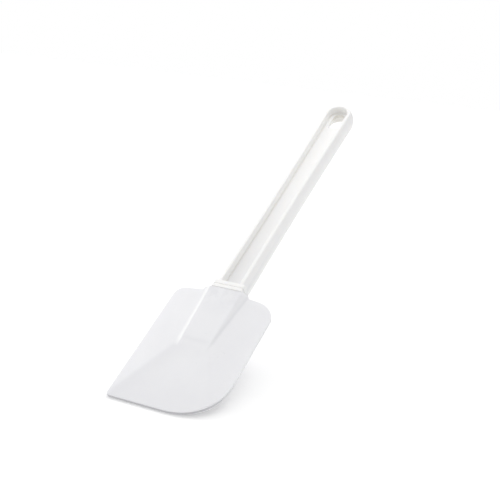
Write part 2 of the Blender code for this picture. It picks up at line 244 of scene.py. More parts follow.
# The surroundings are brightest towards this side, above and to the left, and darkest opposite it
LIGHT_SIDE = (-0.5, 0.1, 0.85)
WORLD_DARK = 0.39
WORLD_BRIGHT = 0.91
LIGHT_TARGET = (0, 120 * MM, 0)
LIGHT_DISTANCE = 1.2
LIGHT_SIZE = 0.6
# Azimuth and height above the table in degrees, and power in watts; azimuth 0 is +Y and 90 is -X
LIGHTS = {
    "left": (82, 34, 2.0),
    "upper": (5, 55, 1.05),
    "upper_right": (318, 60, 2.1),
}


# ---------------------------------------------------------------- outlines

def arc(centre, radius, start, turn, steps):
    """Points along an arc; angles in degrees, both ends included."""
    points = []
    for step in range(steps + 1):
        angle = math.radians(start + turn * step / steps)
        points.append(Vector((centre[0] + radius * math.cos(angle), centre[1] + radius * math.sin(angle))))
    return points


def even_points(loop, spacing):
    """The same closed loop with points at even distances along it."""
    path = loop + loop[:1]
    lengths = [0.0]
    for before, after in zip(path, path[1:]):
        lengths.append(lengths[-1] + (after - before).length)
    count = round(lengths[-1] / spacing)
    points = []
    index = 0
    for step in range(count):
        wanted = lengths[-1] * step / count
        while index < len(path) - 2 and lengths[index + 1] < wanted:
            index += 1
        span = lengths[index + 1] - lengths[index]
        share = (wanted - lengths[index]) / span if span > 0 else 0.0
        points.append(path[index].lerp(path[index + 1], share))
    return points


def inward_normals(loop):
    """Unit normals towards the inside of an anticlockwise loop."""
    normals = []
    count = len(loop)
    for index in range(count):
        along = loop[(index + 1) % count] - loop[index - 1]
        normals.append(Vector((-along.y, along.x)).normalized())
    return normals


def ring_points(loop, normals, inset, z):
    """The loop set in by a distance, at a height."""
    return [(p.x + n.x * inset, p.y + n.y * inset, z) for p, n in zip(loop, normals)]


def loop_edges(count, start=0):
    """The edges of a closed loop of points numbered from start."""
    return [(start + index, start + (index + 1) % count) for index in range(count)]


class Shell:
    """Points and faces of one closed mesh."""

    def __init__(self):
        self.points = []
        self.faces = []

    def add_points(self, points):
        """Adds points and gives their numbers."""
        start = len(self.points)
        self.points.extend(points)
        return list(range(start, start + len(points)))

    def add_band(self, low, high):
        """Faces between two closed rings with the same number of points."""
        count = len(low)
        for index in range(count):
            after = (index + 1) % count
            self.faces.append((low[index], low[after], high[after], high[index]))

    def add_bands(self, rings):
        for low, high in zip(rings, rings[1:]):
            self.add_band(low, high)

    def fill_plane(self, outer, inner):
        """Triangles between one ring and a ring inside it."""
        index_of = outer + inner
        flat = [Vector(self.points[index][:2]) for index in index_of]
        count = len(outer)
        edges = loop_edges(count) + loop_edges(len(inner), count)
        places, _, triangles, sources, _, _ = delaunay_2d_cdt(flat, edges, [], INSIDE_ONLY, SAME_PLACE)
        for triangle in triangles:
            middle = sum((places[corner] for corner in triangle), Vector((0, 0))) / len(triangle)
            if is_inside(middle, flat[:count]) and not is_inside(middle, flat[count:]):
                self.faces.append(tuple(index_of[sources[corner][0]] for corner in triangle))

    def join_rings(self, kept, dropped):
        """Makes one ring of two that lie in the same place."""
        same = dict(zip(dropped, kept))
        self.faces = [tuple(same.get(index, index) for index in face) for face in self.faces]

    def to_object(self, name, sharp_degrees):
        """Makes the mesh, with loose points removed and all faces turned outwards."""
        mesh = bpy.data.meshes.new(name)
        mesh.from_pydata(self.points, [], self.faces)
        shape = bmesh.new()
        shape.from_mesh(mesh)
        bmesh.ops.delete(shape, geom=[v for v in shape.verts if not v.link_faces], context="VERTS")
        bmesh.ops.recalc_face_normals(shape, faces=shape.faces)
        shape.to_mesh(mesh)
        shape.free()
        mesh.shade_smooth()
        mesh.set_sharp_from_angle(angle=math.radians(sharp_degrees))
        item = bpy.data.objects.new(name, mesh)
        bpy.context.scene.collection.objects.link(item)
        return item


def is_inside(point, loop):
    """Whether a loop goes round a point: a ray from the point crosses it an odd number of times."""
    inside = False
    before = loop[-1]
    for after in loop:
        if (after.y > point.y) != (before.y > point.y):
            crossing = after.x + (point.y - after.y) * (before.x - after.x) / (before.y - after.y)
            if point.x < crossing:
                inside = not inside
        before = after
    return inside


def apply_boolean(target, tool, operation):
    """Joins a tool to a solid, or cuts it out, and removes the tool."""
    modifier = target.modifiers.new("boolean", "BOOLEAN")
    modifier.operation = operation
    modifier.solver = "EXACT"
    modifier.object = tool
    graph = bpy.context.evaluated_depsgraph_get()
    mesh = bpy.data.meshes.new_from_object(target.evaluated_get(graph))
    target.modifiers.clear()
    target.data = mesh
    bpy.data.objects.remove(tool, do_unlink=True)


# ---------------------------------------------------------------- handle

def handle_half_width(y):
    """Half width of the grip: slimmest at the waist, wider towards the collar and the end."""
    if y < WAIST_Y:
        share = (WAIST_Y - y) / (WAIST_Y - COLLAR_END_Y)
        return WAIST_HALF_WIDTH + (NECK_HALF_WIDTH - WAIST_HALF_WIDTH) * share ** NECK_POWER
    share = (y - WAIST_Y) / (END_Y - WAIST_Y)
    return WAIST_HALF_WIDTH + (END_RADIUS - WAIST_HALF_WIDTH) * share ** END_POWER


def handle_loop(start_y, inset, corner_radius):
    """The handle's outline set in by a distance, anticlockwise from the low right corner.

    Every such loop has the same number of points, so that a wall can be drawn between two of them.
    """
    base = start_y + corner_radius
    side = []
    for step in range(SIDE_STEPS + 1):
        y = base + (END_Y - base) * step / SIDE_STEPS
        side.append(Vector((handle_half_width(y) - inset, y)))
    end = arc((0, END_Y), END_RADIUS - inset, 0, 180, END_STEPS)
    other = [Vector((-p.x, p.y)) for p in reversed(side)]
    reach = side[0].x - corner_radius
    low_left = arc((-reach, base), corner_radius, 180, 90, CORNER_STEPS)
    low_right = arc((reach, base), corner_radius, 270, 90, CORNER_STEPS)
    bottom = []
    for step in range(1, BOTTOM_STEPS):
        bottom.append(low_left[-1].lerp(low_right[0], step / BOTTOM_STEPS))
    return side[:-1] + end + other[1:-1] + low_left + bottom + low_right[:-1]


def hole_loop():
    """The hanging hole's outline: half-round towards the end, flat below."""
    end = arc((0, HOLE_TOP_Y - HOLE_RADIUS), HOLE_RADIUS, 0, 180, HOLE_END_STEPS)
    base = HOLE_BOTTOM_Y + HOLE_CORNER_RADIUS
    reach = HOLE_RADIUS - HOLE_CORNER_RADIUS
    low_left = arc((-reach, base), HOLE_CORNER_RADIUS, 180, 90, CORNER_STEPS)
    low_right = arc((reach, base), HOLE_CORNER_RADIUS, 270, 90, CORNER_STEPS)
    return even_points(end + low_left + low_right, OUTLINE_SPACING)


def quarter(steps):
    """Sine and cosine along a quarter turn."""
    turns = [math.pi / 2 * step / steps for step in range(steps + 1)]
    return [(math.sin(turn), math.cos(turn)) for turn in turns]


def rim_outer_profile():
    """(inset from the outline, z) from the rim's top over its rounded edge and down the bulging side."""
    radius = OUTER_EDGE_RADIUS
    edge_z = HALF_THICKNESS - RIM_CROWN
    profile = []
    for sine, cosine in quarter(OUTER_EDGE_STEPS):
        profile.append((SIDE_BULGE + radius * (1 - sine), edge_z - radius * (1 - cosine)))
    side_top = edge_z - radius
    for step in range(1, BULGE_STEPS + 1):
        share = 1 - step / BULGE_STEPS
        profile.append((SIDE_BULGE * share ** 2, side_top * share))
    return profile


def rim_inner_profile():
    """(inset from the recess's loop, z) from the floor up the wall to the rim's top."""
    profile = [(RECESS_FLOOR_FILLET + WALL_DRAFT + FLAT_GUARD, RECESS_FLOOR_Z)]
    for sine, cosine in quarter(FILLET_STEPS):
        inset = RECESS_FLOOR_FILLET * (1 - sine) + WALL_DRAFT
        profile.append((inset, RECESS_FLOOR_Z + RECESS_FLOOR_FILLET * (1 - cosine)))
    edge_z = HALF_THICKNESS - RIM_CROWN
    radius = INNER_EDGE_RADIUS
    for sine, cosine in reversed(quarter(INNER_EDGE_STEPS)):
        profile.append((-radius * (1 - sine), edge_z - radius * (1 - cosine)))
    return profile


def hole_profile():
    """(inset from the hole's loop, z): from the flat web over the hole's edge to its wall."""
    profile = [(-HOLE_EDGE_RADIUS - FLAT_GUARD, RECESS_FLOOR_Z)]
    for sine, cosine in quarter(HOLE_EDGE_STEPS):
        profile.append((-HOLE_EDGE_RADIUS * (1 - sine), RECESS_FLOOR_Z - HOLE_EDGE_RADIUS * (1 - cosine)))
    return profile


def crown_rings(inner, outer):
    """Rings across the rim's top, which is very slightly domed between its two edges."""
    rings = []
    for share in CROWN_SHARES:
        rise = RIM_CROWN * (1 - (2 * share - 1) ** 2)
        ring = []
        for a, b in zip(inner, outer):
            middle = Vector(a).lerp(Vector(b), share)
            middle.z += math.copysign(rise, middle.z)
            ring.append(middle)
        rings.append(ring)
    return rings


def make_grip():
    """The long H-section: rim, web, recesses and hanging hole."""
    root_y = UPPER_RING_Y + GRIP_ROOT_LIFT
    inner = handle_loop(COLLAR_END_Y - RING_EDGE_RADIUS, SIDE_BULGE + RIM_WIDTH, RECESS_CORNER_RADIUS)
    hole = hole_loop()
    inner_normals = inward_normals(inner)
    hole_normals = inward_normals(hole)
    shell = Shell()
    middles = []
    for side in (1, -1):
        wall = [ring_points(inner, inner_normals, inset, side * z) for inset, z in rim_inner_profile()]
        edge = []
        for inset, z in rim_outer_profile():
            edge.append([(p.x, p.y, side * z) for p in handle_loop(root_y, inset, GRIP_ROOT_CORNER)])
        lip = [ring_points(hole, hole_normals, inset, side * z) for inset, z in hole_profile()]
        rings = [shell.add_points(ring) for ring in wall + crown_rings(wall[-1], edge[0]) + edge]
        hole_rings = [shell.add_points(ring) for ring in lip]
        shell.add_bands(rings)
        shell.add_bands(hole_rings)
        shell.fill_plane(rings[0], hole_rings[0])
        middles.append((rings[-1], hole_rings[-1]))
    shell.join_rings(middles[0][0], middles[1][0])
    shell.add_band(middles[0][1], middles[1][1])
    return shell.to_object("grip", PLASTIC_SHARP_DEGREES)


def collar_ring(y, inset):
    """A rounded rectangle across the handle, set in from the collar's full size."""
    across = COLLAR_HALF_WIDTH - COLLAR_CORNER_RADIUS
    deep = COLLAR_HALF_THICKNESS - COLLAR_CORNER_RADIUS
    radius = COLLAR_CORNER_RADIUS - inset
    section = []
    for sign_x, sign_z, start in ((1, 1, 0), (-1, 1, 90), (-1, -1, 180), (1, -1, 270)):
        for point in arc((sign_x * across, sign_z * deep), radius, start, 90, CORNER_STEPS):
            section.append((point.x, y, point.y))
    return section


def ring_stations(start, end, low_inset, high_inset):
    """(y, inset) along one ring of the collar, with a rounded edge at each end."""
    stations = [(start, low_inset)]
    for sine, cosine in quarter(RING_EDGE_STEPS):
        stations.append((start + RING_EDGE_RADIUS * (1 - cosine), RING_EDGE_RADIUS * (1 - sine)))
    for sine, cosine in reversed(quarter(RING_EDGE_STEPS)):
        stations.append((end - RING_EDGE_RADIUS * (1 - cosine), RING_EDGE_RADIUS * (1 - sine)))
    stations.append((end, high_inset))
    return stations


def make_collar():
    """Two rings with rounded edges and a groove between them."""
    stations = ring_stations(LOWER_RING_Y, GROOVE_Y, COLLAR_CAP_INSET, GROOVE_DEPTH)
    stations += ring_stations(UPPER_RING_Y, COLLAR_END_Y, GROOVE_DEPTH, COLLAR_CAP_INSET)
    shell = Shell()
    rings = [shell.add_points(collar_ring(y, inset)) for y, inset in stations]
    shell.add_bands(rings)
    shell.faces.append(tuple(rings[0]))
    shell.faces.append(tuple(rings[-1]))
    return shell.to_object("collar", PLASTIC_SHARP_DEGREES)


def make_handle():
    """The whole plastic moulding that shows: grip and collar in one closed mesh."""
    handle = make_grip()
    apply_boolean(handle, make_collar(), "UNION")
    handle.name = "handle_moulding"
    handle.data.shade_smooth()
    handle.data.set_sharp_from_angle(angle=math.radians(PLASTIC_SHARP_DEGREES))
    return handle


# ---------------------------------------------------------------- blade

def soft_min(a, b, reach):
    """The smaller of two heights, rounded where they are within reach of each other."""
    near = max(reach - abs(a - b), 0.0) / reach
    return min(a, b) - near * near * reach / 4


def soft_max(a, b, reach):
    """The larger of two heights, rounded in the same way."""
    return -soft_min(-a, -b, reach)


def share_between(low, high, value):
    """How far a value is from low to high, kept between 0 and 1."""
    return min(max((value - low) / (high - low), 0.0), 1.0)


def wedge_half_width(y):
    """Half width of the wedge's face, which widens from its end to the socket's mouth."""
    share = share_between(WEDGE_END_Y, SOCKET_TOP_Y, y)
    return WEDGE_END_HALF_WIDTH + (WEDGE_TOP_HALF_WIDTH - WEDGE_END_HALF_WIDTH) * share


def wedge_height(y):
    """Half thickness on the wedge's face: a long gentle slope, then a steeper one below the crease."""
    upper = (WEDGE_TOP_HEIGHT - CREASE_HEIGHT) / (SOCKET_TOP_Y - CREASE_Y)
    end_height = EDGE_HALF_THICKNESS + LIP_SLOPE * WEDGE_END_Y
    lower = (CREASE_HEIGHT - end_height) / (CREASE_Y - WEDGE_END_Y)
    above = CREASE_HEIGHT + upper * (y - CREASE_Y)
    below = CREASE_HEIGHT + lower * (y - CREASE_Y)
    return soft_min(above, below, CREASE_SOFTNESS)


def wing_height(x, y):
    """Half thickness of the blade outside the wedge: sloping from the sides and from the lip."""
    share = share_between(WING_TWIST_START_Y, WING_TOP_Y, y)
    slope = WING_SLOPE_LOW + (WING_SLOPE_TOP - WING_SLOPE_LOW) * share
    from_side = slope * (BLADE_HALF_WIDTH - abs(x))
    from_lip = LIP_SLOPE * y
    return EDGE_HALF_THICKNESS + soft_min(from_side, from_lip, HIP_SOFTNESS)


def half_thickness(x, y):
    """Half the blade's thickness anywhere: the wedge, with its side walls running out into the wings."""
    face = wedge_height(y)
    wall = face - WEDGE_WALL_SLOPE * (abs(x) - wedge_half_width(y))
    wedge = soft_min(face, wall, WEDGE_EDGE_SOFTNESS)
    return soft_max(wedge, wing_height(x, y), WEDGE_FOOT_SOFTNESS)


def wedge_foot(y):
    """Where the wedge's side wall meets the wing."""
    near = wedge_half_width(y)
    far = BLADE_HALF_WIDTH
    for _ in range(FOOT_HALVINGS):
        middle = (near + far) / 2
        wall = wedge_height(y) - WEDGE_WALL_SLOPE * (middle - wedge_half_width(y))
        if wall > wing_height(middle, y):
            near = middle
        else:
            far = middle
    return near


def blade_outline():
    """The blade's outline, anticlockwise from the square corner at the low left."""
    width = BLADE_HALF_WIDTH
    foot = wedge_foot(SOCKET_TOP_Y)
    sweep = []
    for step in range(SWEEP_STEPS + 1):
        turn = math.pi / 2 * step / SWEEP_STEPS
        across = SWEEP_WIDTH * math.sin(turn) ** (2 / SWEEP_POWER)
        up = SWEEP_HEIGHT * (1 - math.cos(turn) ** (2 / SWEEP_POWER))
        sweep.append(Vector((width - SWEEP_WIDTH + across, up)))
    low_left = arc((LOW_LEFT_RADIUS - width, LOW_LEFT_RADIUS), LOW_LEFT_RADIUS, 180, 90, LOW_LEFT_STEPS)
    right_centre = (width - TOP_RIGHT_RADIUS, WING_TOP_Y - TOP_RIGHT_RADIUS)
    top_right = arc(right_centre, TOP_RIGHT_RADIUS, 0, 90, TOP_RIGHT_STEPS)
    left_centre = (TOP_LEFT_RADIUS - width, WING_TOP_Y - TOP_LEFT_RADIUS)
    top_left = arc(left_centre, TOP_LEFT_RADIUS, 90, 90, TOP_LEFT_STEPS)
    return even_points(low_left + sweep + top_right + mouth_outline(foot) + top_left, OUTLINE_SPACING)


def mouth_outline(foot):
    """The socket's mouth, standing up from the wings' top edge; from right to left."""
    side = foot + MOUTH_FILLET
    right_fillet = arc((side, WING_TOP_Y + MOUTH_FILLET), MOUTH_FILLET, 270, -90, MOUTH_FILLET_STEPS)
    left_fillet = arc((-side, WING_TOP_Y + MOUTH_FILLET), MOUTH_FILLET, 0, -90, MOUTH_FILLET_STEPS)
    corner_y = SOCKET_TOP_Y - MOUTH_CORNER_RADIUS
    corner_x = foot - MOUTH_CORNER_RADIUS
    right_corner = arc((corner_x, corner_y), MOUTH_CORNER_RADIUS, 0, 90, CORNER_STEPS)
    left_corner = arc((-corner_x, corner_y), MOUTH_CORNER_RADIUS, 90, 90, CORNER_STEPS)
    return right_fillet + right_corner + left_corner + left_fillet


def surface_places():
    """Points over the blade's face, closer together round the wedge's edges."""
    places = []
    rows = int(SOCKET_TOP_Y / SURFACE_SPACING)
    for row in range(1, rows + 1):
        y = row * SURFACE_SPACING
        on_wedge = max(y, WEDGE_END_Y)
        face = wedge_half_width(on_wedge)
        foot = max(wedge_foot(on_wedge), face + LEAST_WALL)
        half = spaced(0, face - FINE_REACH, SURFACE_SPACING)
        half += spaced(face - FINE_REACH, foot + FINE_REACH, FINE_SPACING)
        half += spaced(foot + FINE_REACH, BLADE_HALF_WIDTH, SURFACE_SPACING)
        nudge = ROW_NUDGE * SURFACE_SPACING if row % 2 else -ROW_NUDGE * SURFACE_SPACING
        for x in [-x for x in reversed(half[1:])] + half:
            places.append(Vector((x + nudge, y)))
    return places


def spaced(start, end, spacing):
    """Evenly spaced values from start up to, but not including, end."""
    count = max(int(round((end - start) / spacing)), 1)
    return [start + (end - start) * step / count for step in range(count)]


def make_blade():
    """One moulding: both faces are the same height field, joined round a softly rounded edge."""
    outline = blade_outline()
    normals = inward_normals(outline)
    radius = RUBBER_EDGE_RADIUS
    insets = [radius + EDGE_STRIP] + [radius * (1 - sine) for sine, _ in quarter(RUBBER_EDGE_STEPS)]
    drops = [0.0] + [radius * (1 - cosine) for _, cosine in quarter(RUBBER_EDGE_STEPS)]
    inner_loop = [p + n * insets[0] for p, n in zip(outline, normals)]
    places = clear_places(surface_places(), inner_loop)
    count = len(inner_loop)
    flat, _, triangles, sources, _, _ = delaunay_2d_cdt(
        inner_loop + places, loop_edges(count), [], INSIDE_ONLY, SAME_PLACE)
    kept = []
    for triangle in triangles:
        middle = (flat[triangle[0]] + flat[triangle[1]] + flat[triangle[2]]) / 3
        if all(max(sources[corner]) < count for corner in triangle) and not is_inside(middle, inner_loop):
            continue
        kept.append(tuple(sources[corner][0] for corner in triangle))
    shell = Shell()
    loops = []
    for side in (1, -1):
        surface = []
        for place in inner_loop + places:
            surface.append((place.x, place.y, side * half_thickness(place.x, place.y)))
        index_of = shell.add_points(surface)
        shell.faces += [tuple(index_of[corner] for corner in triangle) for triangle in kept]
        rings = [index_of[:count]]
        for inset, drop in zip(insets[1:], drops[1:]):
            ring = []
            for p, n in zip(outline, normals):
                at = p + n * inset
                height = half_thickness(p.x + n.x * radius, p.y + n.y * radius) - drop
                ring.append((at.x, at.y, side * height))
            rings.append(shell.add_points(ring))
        shell.add_bands(rings)
        loops.append(rings[-1])
    shell.add_band(loops[0], loops[1])
    return shell.to_object("blade_moulding", RUBBER_SHARP_DEGREES)


def clear_places(places, loop):
    """The points that are inside a loop and don't crowd it."""
    at = np.array([tuple(place) for place in places])
    corners = np.array([tuple(corner) for corner in loop])
    inside = np.zeros(len(at), bool)
    nearest = np.full(len(at), np.inf)
    for before, after in zip(np.roll(corners, 1, axis=0), corners):
        if after[1] != before[1]:
            spans = (after[1] > at[:, 1]) != (before[1] > at[:, 1])
            slant = (before[0] - after[0]) / (before[1] - after[1])
            inside ^= spans & (at[:, 0] < after[0] + (at[:, 1] - after[1]) * slant)
        nearest = np.minimum(nearest, np.hypot(*(at - after).T))
    kept = inside & (nearest > CROWDED * OUTLINE_SPACING)
    return [place for place, keep in zip(places, kept) if keep]


# ---------------------------------------------------------------- materials

class Nodes:
    """Short calls for building a material's node tree."""

    def __init__(self, name):
        self.material = bpy.data.materials.new(name)
        self.material.use_nodes = True
        self.tree = self.material.node_tree
        self.tree.nodes.clear()

    def add(self, kind, **settings):
        node = self.tree.nodes.new(kind)
        for key, value in settings.items():
            setattr(node, key, value)
        return node

    def link(self, source, target):
        self.tree.links.new(source, target)

    def place(self, scale):
        """The object's own coordinates at rest, stretched."""
        coordinates = self.add("ShaderNodeAttribute", attribute_name="rest_place")
        mapping = self.add("ShaderNodeMapping")
        mapping.inputs["Scale"].default_value = scale
        self.link(coordinates.outputs["Vector"], mapping.inputs["Vector"])
        return mapping.outputs["Vector"]

    def split_place(self):
        """The object's own coordinates at rest, as three values."""
        split = self.add("ShaderNodeSeparateXYZ")
        self.link(self.place((1, 1, 1)), split.inputs["Vector"])
        return split.outputs["X"], split.outputs["Y"], split.outputs["Z"]

    def noise(self, scale, detail, roughness=0.5, stretch=(1, 1, 1)):
        texture = self.add("ShaderNodeTexNoise")
        texture.inputs["Scale"].default_value = scale
        texture.inputs["Detail"].default_value = detail
        texture.inputs["Roughness"].default_value = roughness
        self.link(self.place(stretch), texture.inputs["Vector"])
        return texture.outputs["Fac"]

    def spread(self, source, low, high, start=0.0, end=1.0):
        """Maps a value from one range to another, clamped."""
        node = self.add("ShaderNodeMapRange")
        node.inputs["From Min"].default_value = low
        node.inputs["From Max"].default_value = high
        node.inputs["To Min"].default_value = start
        node.inputs["To Max"].default_value = end
        self.link(source, node.inputs["Value"])
        return node.outputs["Result"]

    def fade(self, source, low, high, most=1.0):
        """A share that falls from its most at low to nothing at high."""
        return self.spread(source, low, high, most, 0.0)

    def maths(self, operation, first, second=0):
        node = self.add("ShaderNodeMath", operation=operation)
        for socket, given in zip(node.inputs, (first, second)):
            if isinstance(given, (int, float)):
                socket.default_value = given
            else:
                self.link(given, socket)
        return node.outputs["Value"]

    def times(self, first, second):
        return self.maths("MULTIPLY", first, second)

    def minus(self, first, second):
        return self.maths("SUBTRACT", first, second)

    def mix(self, share, first, second):
        """The first colour where the share is 0, the second where it is 1."""
        node = self.add("ShaderNodeMix", data_type="RGBA")
        for socket, given in ((node.inputs[6], first), (node.inputs[7], second)):
            if isinstance(given, tuple):
                socket.default_value = (*given, 1.0)
            else:
                self.link(given, socket)
        self.link(share, node.inputs[0])
        return node.outputs[2]

    def bump(self, height, strength, distance, below=None):
        node = self.add("ShaderNodeBump")
        node.inputs["Strength"].default_value = strength
        node.inputs["Distance"].default_value = distance
        self.link(height, node.inputs["Height"])
        if below is not None:
            self.link(below, node.inputs["Normal"])
        return node.outputs["Normal"]

    def finish(self, shader):
        output = self.add("ShaderNodeOutputMaterial")
        self.link(shader, output.inputs["Surface"])
        return self.material


def from_middle(nodes, x, y, end):
    """Distance from the handle's middle line, which stops at a height."""
    past = nodes.maths("MAXIMUM", nodes.minus(y, end), 0)
    squares = nodes.maths("ADD", nodes.maths("POWER", x, 2), nodes.maths("POWER", past, 2))
    return nodes.maths("SQRT", squares)


def hollow_painted_shade(nodes, y):
    """Share of painted shade in narrow corners, by how hidden they are from their surroundings; the collar
    gets none.
    """
    open_share = nodes.add("ShaderNodeAmbientOcclusion", samples=8)
    open_share.inputs["Distance"].default_value = HOLLOW_REACH
    hollow = nodes.fade(open_share.outputs["AO"], 0.5, 0.9, HOLLOW_SHADE)
    return nodes.times(hollow, nodes.spread(y, COLLAR_END_Y, COLLAR_END_Y + 2 * MM))


def end_painted_shade(nodes, x, y, z):
    """Share of painted shade on the recesses' ends and in the hanging hole."""
    wall = END_RADIUS - SIDE_BULGE - RIM_WIDTH
    to_wall = from_middle(nodes, x, y, END_Y)
    in_recess = nodes.fade(to_wall, wall + 0.05 * MM, wall + 0.5 * MM)
    on_wall = nodes.spread(to_wall, wall - 0.3 * MM, wall - 0.05 * MM)
    near_end = nodes.spread(y, END_Y, HOLE_TOP_Y + 1 * MM)
    deep = nodes.fade(z, RECESS_FLOOR_Z, HALF_THICKNESS, END_SHADE)
    on_end = nodes.times(nodes.times(on_wall, near_end), deep)
    to_hole = from_middle(nodes, x, y, HOLE_TOP_Y - HOLE_RADIUS)
    on_hole_wall = nodes.fade(to_hole, HOLE_RADIUS + 0.1 * MM, HOLE_RADIUS + 0.3 * MM, HOLE_SHADE)
    in_hole = nodes.times(on_hole_wall, nodes.spread(y, HOLE_BOTTOM_Y + 1 * MM, END_Y))
    return nodes.times(in_recess, nodes.maths("ADD", on_end, in_hole))


def floor_painted_shade(nodes, y, z):
    """Share of painted shade on the recesses' floors, more towards the collar."""
    height = nodes.maths("ABSOLUTE", z)
    on_floor = nodes.fade(height, RECESS_FLOOR_Z + 0.2 * MM, RECESS_FLOOR_Z + 0.8 * MM)
    return nodes.times(on_floor, nodes.fade(y, COLLAR_END_Y, FLOOR_SHADE_END_Y, FLOOR_SHADE))


def side_painted_shade(nodes, x, z):
    """Share of painted shade on the handle's outer sides."""
    outer = nodes.spread(nodes.maths("ABSOLUTE", x), 9 * MM, 10 * MM, end=SIDE_SHADE)
    return nodes.times(outer, nodes.fade(nodes.maths("ABSOLUTE", z), 6 * MM, 8 * MM))


def plastic_material():
    """Warm white moulded plastic, satin, with faint flow marks, fine scuffs, and painted shade in its
    hollows, on its outer sides and on the recesses' floors.
    """
    nodes = Nodes("handle_plastic_look")
    shader = nodes.add("ShaderNodeBsdfPrincipled")
    x, y, z = nodes.split_place()
    clouds = nodes.noise(scale=38, detail=4, roughness=0.55, stretch=(1, 0.35, 1))
    tone = nodes.mix(nodes.spread(clouds, 0.3, 0.7), PLASTIC_LIGHT, PLASTIC_DARK)
    # Painted shade on the outer sides and on the recesses' floors
    tone = nodes.mix(side_painted_shade(nodes, x, z), tone, PLASTIC_SHADE)
    tone = nodes.mix(floor_painted_shade(nodes, y, z), tone, PLASTIC_SHADE)
    # Painted shade in the hollows, on the recesses' end walls and in the hanging hole
    shade_in_hollows = nodes.maths("MAXIMUM", hollow_painted_shade(nodes, y), end_painted_shade(nodes, x, y, z))
    tone = nodes.mix(shade_in_hollows, tone, PLASTIC_PAINTED_SHADE)
    nodes.link(tone, shader.inputs["Base Color"])
    scuffs = nodes.noise(scale=900, detail=2, roughness=0.6, stretch=(1, 0.06, 1))
    nodes.link(nodes.spread(scuffs, 0.35, 0.75, start=0.30, end=0.46), shader.inputs["Roughness"])
    skin = nodes.noise(scale=2600, detail=2)
    flow = nodes.noise(scale=120, detail=2, stretch=(1, 0.25, 1))
    normal = nodes.bump(skin, strength=0.10, distance=0.02 * MM)
    normal = nodes.bump(scuffs, strength=0.12, distance=0.02 * MM, below=normal)
    normal = nodes.bump(flow, strength=0.25, distance=0.10 * MM, below=normal)
    nodes.link(normal, shader.inputs["Normal"])
    shader.inputs["IOR"].default_value = 1.49
    shader.inputs["Subsurface Weight"].default_value = 0.12
    shader.inputs["Subsurface Radius"].default_value = (1.0, 0.9, 0.75)
    shader.inputs["Subsurface Scale"].default_value = 1.5 * MM
    return nodes.finish(shader.outputs["BSDF"])


def smudges(nodes, across, y):
    """Share of grey smudges on the socket just below the collar."""
    patches = nodes.spread(nodes.noise(scale=150, detail=3, roughness=0.6), 0.42, 0.62, start=0.15)
    near_collar = nodes.spread(y, SOCKET_TOP_Y - 26 * MM, SOCKET_TOP_Y - 6 * MM, end=SMUDGE)
    on_face = nodes.fade(across, WEDGE_TOP_HALF_WIDTH, WEDGE_TOP_HALF_WIDTH + 2 * MM)
    return nodes.times(patches, nodes.times(near_collar, on_face))


def foot_painted_shade(nodes, x, y):
    """Share of painted shade where the socket's right side wall meets the wing."""
    low_y = WEDGE_END_Y + 3 * MM
    foot = nodes.spread(y, low_y, SOCKET_TOP_Y, start=wedge_foot(low_y), end=wedge_foot(SOCKET_TOP_Y))
    aside = nodes.maths("ABSOLUTE", nodes.minus(x, foot))
    line = nodes.fade(aside, 0, FOOT_REACH, FOOT_SHADE)
    return nodes.times(line, nodes.spread(y, WEDGE_END_Y, WEDGE_END_Y + 14 * MM))


def hip_painted_shade(nodes, x, across, y):
    """Share of painted shade just below the hips, where the lip and the wings meet; mostly on the left."""
    from_side = nodes.times(nodes.minus(BLADE_HALF_WIDTH, across), WING_SLOPE_LOW)
    past_hip = nodes.minus(from_side, nodes.times(y, LIP_SLOPE))
    near_hip = nodes.times(
        nodes.spread(past_hip, -HIP_FADE_ABOVE, 0, end=HIP_SHADE),
        nodes.fade(past_hip, 0, HIP_FADE_BELOW))
    below_wedge = nodes.fade(y, WEDGE_END_Y - 2 * MM, WEDGE_END_Y + 4 * MM)
    on_left = nodes.spread(x, -4 * MM, 8 * MM, start=1.0, end=RIGHT_HIP_SHARE)
    return nodes.times(nodes.times(near_hip, below_wedge), on_left)


def bend_painted_shade(nodes, across, y):
    """Share of painted shade just below the crease across the wedge's face."""
    to_bend = nodes.maths("ABSOLUTE", nodes.minus(y, CREASE_Y - 2 * MM))
    near_bend = nodes.fade(to_bend, 0, BEND_REACH, BEND_SHADE)
    on_face = nodes.fade(across, WEDGE_END_HALF_WIDTH - 2 * MM, WEDGE_END_HALF_WIDTH)
    return nodes.times(near_bend, on_face)


def painted_edge_highlight(nodes, x, y):
    """Share of painted highlight along the wedge's left edge, fading down its side wall."""
    edge = nodes.spread(y, WEDGE_END_Y, SOCKET_TOP_Y, start=WEDGE_END_HALF_WIDTH, end=WEDGE_TOP_HALF_WIDTH)
    outside = nodes.minus(nodes.times(x, -1), edge)
    on_edge = nodes.spread(outside, -0.8 * MM, 0.2 * MM)
    on_wall = nodes.fade(outside, 0.2 * MM, HIGHLIGHT_WIDTH)
    along = nodes.spread(y, WEDGE_END_Y - 2 * MM, WEDGE_END_Y + 6 * MM)
    return nodes.times(along, nodes.times(on_edge, on_wall))


def edge_painted_shade(nodes, y, z):
    """Share of painted shade and shadow on the thin face of the working edge."""
    on_edge = nodes.fade(nodes.maths("ABSOLUTE", z), 0.7 * MM, EDGE_HALF_THICKNESS, EDGE_SHADE)
    return nodes.times(on_edge, nodes.fade(y, 10 * MM, EDGE_SHADE_END_Y))


def scattered_specks(nodes):
    """Share of small grey specks, which lie in loose groups."""
    specks = nodes.spread(nodes.noise(scale=420, detail=1, roughness=0.4), 0.70, 0.80, end=SPECKS)
    return nodes.times(specks, nodes.spread(nodes.noise(scale=22, detail=1), 0.50, 0.60))


